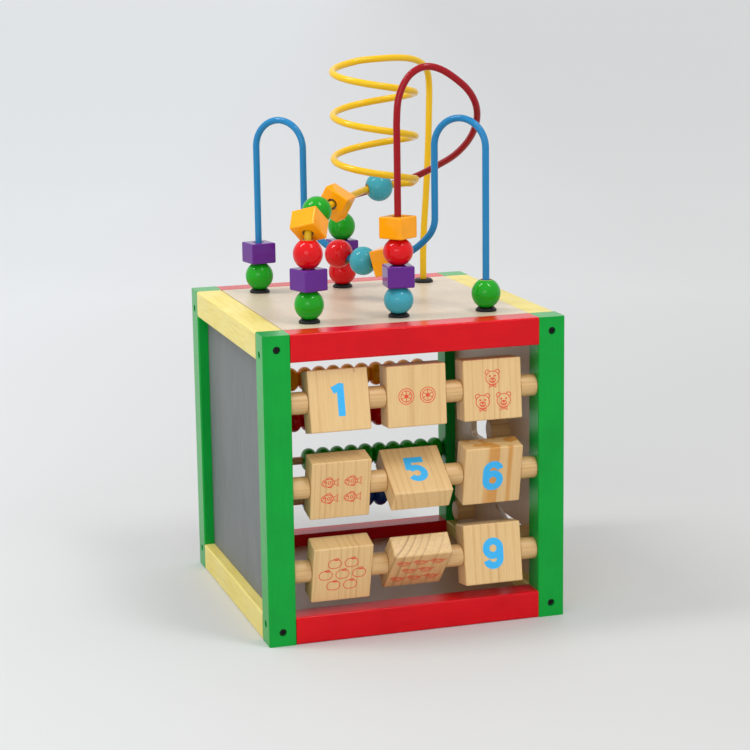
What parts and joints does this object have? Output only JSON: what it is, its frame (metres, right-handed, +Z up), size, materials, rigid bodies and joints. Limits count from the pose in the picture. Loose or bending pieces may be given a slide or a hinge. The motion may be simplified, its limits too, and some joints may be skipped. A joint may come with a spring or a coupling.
{
  "type": "baby activity cube",
  "caption": "Square wooden play cube with turning number blocks, an abacus, a chalkboard, a sliding-peg board and a bead maze of bent wires on top.",
  "frame": {"origin": "centre of the bounding box in plan, at the height of the floor the posts stand on", "axes": "+Z up, -Y towards the number blocks (front), -X towards the chalkboard (left)"},
  "size_m": [0.28, 0.2958, 0.5063],
  "materials": {
    "green_paint": "gloss paint on wood",
    "red_paint": "gloss paint on wood",
    "cream_paint": "satin paint on wood",
    "birch_ply": "satin lacquer",
    "chalk_surface": "matte blackboard paint",
    "pine": "smooth sanded, clear lacquer",
    "beech": "smooth sanded, clear lacquer",
    "bead_green": "gloss paint on wood",
    "bead_red": "gloss paint on wood",
    "bead_light_blue": "gloss paint on wood",
    "bead_purple": "gloss paint on wood",
    "bead_orange": "gloss paint on wood",
    "bead_dark_blue": "gloss paint on wood",
    "bead_yellow": "gloss paint on wood",
    "blue_coat": "gloss coating on steel wire",
    "red_coat": "gloss coating on steel wire",
    "yellow_coat": "gloss coating on steel wire",
    "foot_rubber": "satin",
    "screw_black": "black oxide"
  },
  "bodies": {
    "frame": {"post_front_left": "green_paint", "post_front_right": "green_paint", "post_rear_left": "green_paint", "post_rear_right": "green_paint", "rail_front_bottom": "red_paint", "rail_front_top": "red_paint", "rail_rear_bottom": "red_paint", "rail_rear_top": "red_paint", "rail_left_bottom": "cream_paint", "rail_left_top": "cream_paint", "rail_right_bottom": "cream_paint", "rail_right_top": "cream_paint", "top_panel": "birch_ply", "bottom_panel": "birch_ply", "chalkboard": "chalk_surface", "track_panel": "birch_ply", "rods": "beech", "block_spacers": "beech", "blue_wire": "blue_coat", "red_wire": "red_coat", "yellow_wire": "yellow_coat", "wire_feet": "foot_rubber", "frame_screws": "screw_black"},
    "number_block_1": {"number_block_1": "pine"},
    "number_block_2": {"number_block_2": "pine"},
    "number_block_3": {"number_block_3": "pine"},
    "number_block_4": {"number_block_4": "pine"},
    "number_block_5": {"number_block_5": "pine"},
    "number_block_6": {"number_block_6": "pine"},
    "number_block_7": {"number_block_7": "pine"},
    "number_block_8": {"number_block_8": "pine"},
    "number_block_9": {"number_block_9": "pine"},
    "abacus_row_1": {"abacus_row_1": "bead_dark_blue"},
    "abacus_row_2": {"abacus_row_2": "bead_green"},
    "abacus_row_3": {"abacus_row_3": "bead_red"},
    "abacus_row_4": {"abacus_row_4": "bead_orange"},
    "abacus_row_5": {"abacus_row_5": "bead_yellow"},
    "slider_1": {"slider_1": "bead_red"},
    "slider_2": {"slider_2": "bead_dark_blue"},
    "slider_3": {"slider_3": "bead_yellow"},
    "bead_a1": {"bead_a1": "bead_green"},
    "bead_a2": {"bead_a2": "bead_purple"},
    "bead_b1": {"bead_b1": "bead_green"},
    "bead_b2": {"bead_b2": "bead_purple"},
    "bead_c1": {"bead_c1": "bead_red"},
    "bead_c2": {"bead_c2": "bead_purple"},
    "bead_c3": {"bead_c3": "bead_green"},
    "bead_b3": {"bead_b3": "bead_red"},
    "bead_d1": {"bead_d1": "bead_light_blue"},
    "bead_d2": {"bead_d2": "bead_purple"},
    "bead_d3": {"bead_d3": "bead_red"},
    "bead_d4": {"bead_d4": "bead_orange"},
    "bead_e1": {"bead_e1": "bead_green"},
    "bead_f1": {"bead_f1": "bead_red"},
    "bead_f2": {"bead_f2": "bead_light_blue"},
    "bead_f3": {"bead_f3": "bead_orange"},
    "bead_b4": {"bead_b4": "bead_orange"},
    "bead_b5": {"bead_b5": "bead_green"},
    "bead_g1": {"bead_g1": "bead_orange"},
    "bead_g2": {"bead_g2": "bead_light_blue"}
  },
  "joints": [
    {"name": "block_1_spin", "type": "hinge", "parent": "frame", "child": "number_block_1", "pos_m": [-0.0714, -0.11961, 0.2165], "axis": [1, 0, 0], "continuous": true},
    {"name": "block_2_spin", "type": "hinge", "parent": "frame", "child": "number_block_2", "pos_m": [0, -0.11961, 0.2165], "axis": [1, 0, 0], "continuous": true},
    {"name": "block_3_spin", "type": "hinge", "parent": "frame", "child": "number_block_3", "pos_m": [0.0714, -0.11961, 0.2165], "axis": [1, 0, 0], "continuous": true},
    {"name": "block_4_spin", "type": "hinge", "parent": "frame", "child": "number_block_4", "pos_m": [-0.0714, -0.11961, 0.14], "axis": [1, 0, 0], "continuous": true},
    {"name": "block_5_spin", "type": "hinge", "parent": "frame", "child": "number_block_5", "pos_m": [0, -0.11961, 0.14], "axis": [1, 0, 0], "continuous": true},
    {"name": "block_6_spin", "type": "hinge", "parent": "frame", "child": "number_block_6", "pos_m": [0.0714, -0.11961, 0.14], "axis": [1, 0, 0], "continuous": true},
    {"name": "block_7_spin", "type": "hinge", "parent": "frame", "child": "number_block_7", "pos_m": [-0.0714, -0.11961, 0.0635], "axis": [1, 0, 0], "continuous": true},
    {"name": "block_8_spin", "type": "hinge", "parent": "frame", "child": "number_block_8", "pos_m": [0, -0.11961, 0.0635], "axis": [1, 0, 0], "continuous": true},
    {"name": "block_9_spin", "type": "hinge", "parent": "frame", "child": "number_block_9", "pos_m": [0.0714, -0.11961, 0.0635], "axis": [1, 0, 0], "continuous": true},
    {"name": "abacus_1_slide", "type": "slide", "parent": "frame", "child": "abacus_row_1", "axis": [1, 0, 0], "range_m": [-0.08, 0.0003]},
    {"name": "abacus_2_slide", "type": "slide", "parent": "frame", "child": "abacus_row_2", "axis": [1, 0, 0], "range_m": [-0.08, 0.0003]},
    {"name": "abacus_3_slide", "type": "slide", "parent": "frame", "child": "abacus_row_3", "axis": [1, 0, 0], "range_m": [-0.0346, 0.0457]},
    {"name": "abacus_4_slide", "type": "slide", "parent": "frame", "child": "abacus_row_4", "axis": [1, 0, 0], "range_m": [-0.0626, 0.0177]},
    {"name": "abacus_5_slide", "type": "slide", "parent": "frame", "child": "abacus_row_5", "axis": [1, 0, 0], "range_m": [-0.0002, 0.0801]},
    {"name": "peg_1_slide", "type": "slide", "parent": "frame", "child": "slider_1", "axis": [0, 0, 1], "range_m": [0, 0.0458]},
    {"name": "peg_2_slide", "type": "slide", "parent": "frame", "child": "slider_2", "axis": [0, 0, 1], "range_m": [0, 0.0598]},
    {"name": "peg_3_slide", "type": "slide", "parent": "frame", "child": "slider_3", "axis": [0, 1, 0], "range_m": [0, 0.0668]},
    {"name": "bead_a1_slide", "type": "slide", "parent": "frame", "child": "bead_a1", "axis": [0, 0, 1], "range_m": [0, 0.046]},
    {"name": "bead_a2_slide", "type": "slide", "parent": "bead_a1", "child": "bead_a2", "axis": [0, 0, 1], "range_m": [0, 0.046]},
    {"name": "bead_b1_spin", "type": "hinge", "parent": "frame", "child": "bead_b1", "pos_m": [-0.0835, -0.08111, 0.3], "axis": [0, 0, 1], "continuous": true},
    {"name": "bead_b2_spin", "type": "hinge", "parent": "frame", "child": "bead_b2", "pos_m": [-0.0835, -0.08111, 0.3], "axis": [0, 0, 1], "continuous": true},
    {"name": "bead_c1_spin", "type": "hinge", "parent": "frame", "child": "bead_c1", "pos_m": [0, 0.09689, 0.3], "axis": [0, 0, 1], "continuous": true},
    {"name": "bead_c2_spin", "type": "hinge", "parent": "frame", "child": "bead_c2", "pos_m": [0, 0.09689, 0.3], "axis": [0, 0, 1], "continuous": true},
    {"name": "bead_c3_spin", "type": "hinge", "parent": "frame", "child": "bead_c3", "pos_m": [0, 0.09689, 0.3], "axis": [0, 0, 1], "continuous": true},
    {"name": "bead_b3_spin", "type": "hinge", "parent": "frame", "child": "bead_b3", "pos_m": [-0.08404, -0.08218, 0.3], "axis": [0, 0, 1], "continuous": true},
    {"name": "bead_d1_slide", "type": "slide", "parent": "frame", "child": "bead_d1", "axis": [0, 0, 1], "range_m": [0, 0.02]},
    {"name": "bead_d2_slide", "type": "slide", "parent": "bead_d1", "child": "bead_d2", "axis": [0, 0, 1], "range_m": [0, 0.02]},
    {"name": "bead_d3_slide", "type": "slide", "parent": "bead_d2", "child": "bead_d3", "axis": [0, 0, 1], "range_m": [0, 0.02]},
    {"name": "bead_d4_slide", "type": "slide", "parent": "bead_d3", "child": "bead_d4", "axis": [0, 0, 1], "range_m": [0, 0.02]},
    {"name": "bead_e1_slide", "type": "slide", "parent": "frame", "child": "bead_e1", "axis": [0, 0, 1], "range_m": [0, 0.118]},
    {"name": "bead_f1_swing", "type": "hinge", "parent": "frame", "child": "bead_f1", "pos_m": [0, 0.00789, 0.4032], "axis": [-0.7293, -0.6842, 0], "range_deg": [-12, 9]},
    {"name": "bead_f2_swing", "type": "hinge", "parent": "bead_f1", "child": "bead_f2", "pos_m": [0, 0.00789, 0.4032], "axis": [-0.7293, -0.6842, 0], "range_deg": [0, 9]},
    {"name": "bead_f3_swing", "type": "hinge", "parent": "bead_f2", "child": "bead_f3", "pos_m": [0, 0.00789, 0.4032], "axis": [-0.7293, -0.6842, 0], "range_deg": [0, 8]},
    {"name": "bead_b4_spin", "type": "hinge", "parent": "frame", "child": "bead_b4", "pos_m": [-0.08017, -0.07458, 0.36655], "axis": [0.3096, 0.6077, 0.7314], "continuous": true},
    {"name": "bead_b5_spin", "type": "hinge", "parent": "frame", "child": "bead_b5", "pos_m": [-0.06678, -0.05289, 0.37557], "axis": [0.6475, 0.7595, 0.0631], "continuous": true},
    {"name": "bead_g1_slide", "type": "slide", "parent": "frame", "child": "bead_g1", "axis": [0.6475, 0.7595, 0.0631], "range_m": [-0.016, 0.034]},
    {"name": "bead_g2_swing", "type": "hinge", "parent": "frame", "child": "bead_g2", "pos_m": [0.019, 0.00789, 0.3856], "axis": [-0.1287, 0.0594, 0.9899], "range_deg": [-42, 18]}
  ]
}
